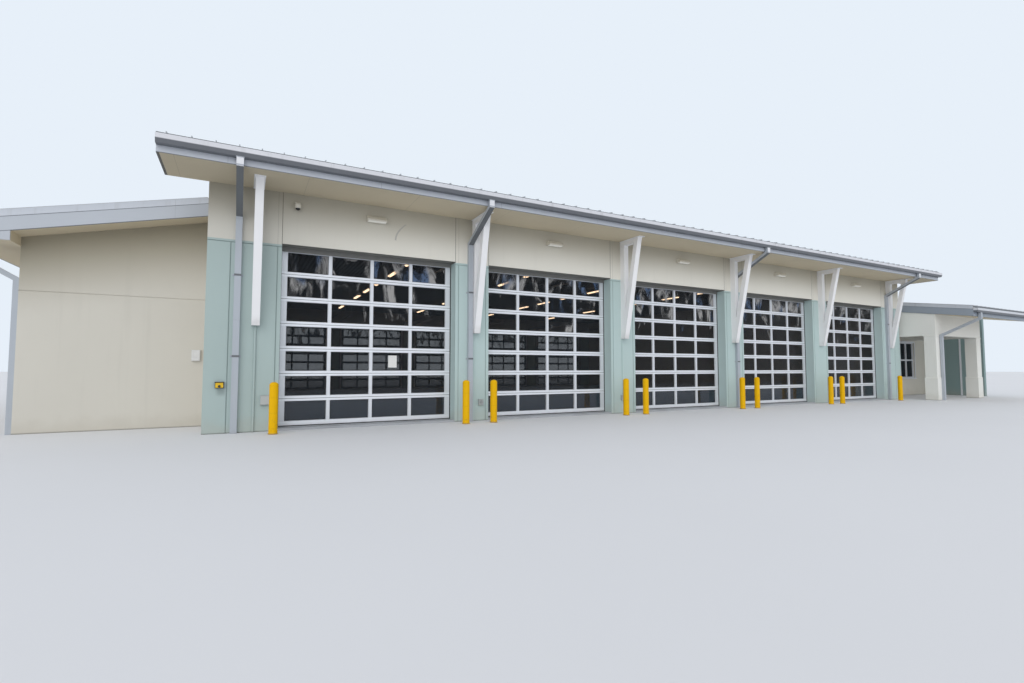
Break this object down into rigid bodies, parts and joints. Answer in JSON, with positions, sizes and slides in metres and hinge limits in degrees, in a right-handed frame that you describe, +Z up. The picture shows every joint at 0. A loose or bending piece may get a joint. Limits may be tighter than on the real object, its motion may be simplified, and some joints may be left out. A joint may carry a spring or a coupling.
{
  "type": "fire station",
  "caption": "Single-storey fire station: a drive-through engine hall with glazed sectional doors at front and rear, a lean-to wing on the left and a wing with an entry porch on the right.",
  "frame": {"origin": "on the ground under the middle of the engine hall, on the underside of its floor", "axes": "+X along the street front to the right as seen from the street, +Y from the street front to the rear, +Z up"},
  "size_m": [39.795, 28.776, 8.1828],
  "materials": {
    "teal_stucco": "painted stucco",
    "cream_stucco": "painted stucco",
    "concrete": "power floated",
    "door_aluminium": "satin",
    "glass": "clear",
    "roof_metal": "satin",
    "gutter_metal": "satin",
    "trim_metal": "satin",
    "white_steel": "semi-gloss",
    "yellow_steel": "gloss",
    "ceiling_board": "matt",
    "lamp_plastic": "gloss"
  },
  "bodies": {
    "root": {"hall_floor": "concrete", "front_piers": "teal_stucco", "front_door_headers": "cream_stucco", "rear_piers": "teal_stucco", "rear_door_headers": "cream_stucco", "hall_gable_walls": "cream_stucco", "hall_ceiling": "ceiling_board", "front_doors": "door_aluminium", "front_door_glass": "glass", "rear_doors": "door_aluminium", "rear_door_glass": "glass", "front_canopy": "cream_stucco", "rear_canopy": "cream_stucco", "front_roof": "roof_metal", "rear_roof": "roof_metal", "ridge_cap": "roof_metal", "front_gutter": "gutter_metal", "rear_gutter": "gutter_metal", "front_downspouts": "gutter_metal", "rear_downspouts": "gutter_metal", "front_brackets": "white_steel", "rear_brackets": "white_steel", "left_wing_end_walls": "cream_stucco", "left_wing_side_wall": "cream_stucco", "left_wing_roof": "roof_metal", "left_wing_rakes": "trim_metal", "left_wing_eave": "trim_metal", "wing_gutters": "gutter_metal", "wing_downspouts": "gutter_metal", "wing_floors": "concrete", "right_wing_window_walls": "cream_stucco", "party_wall": "teal_stucco", "right_wing_roof": "roof_metal", "right_wing_eaves": "trim_metal", "wing_windows": "white_steel", "wing_window_glass": "glass", "porch_columns": "cream_stucco", "porch_beams": "cream_stucco", "porch_fascia": "trim_metal", "porch_rakes": "trim_metal", "bollards": "yellow_steel", "wall_lights": "white_steel", "ceiling_lights": "lamp_plastic", "security_camera": "white_steel", "wall_boxes": "white_steel"}
  },
  "joints": []
}
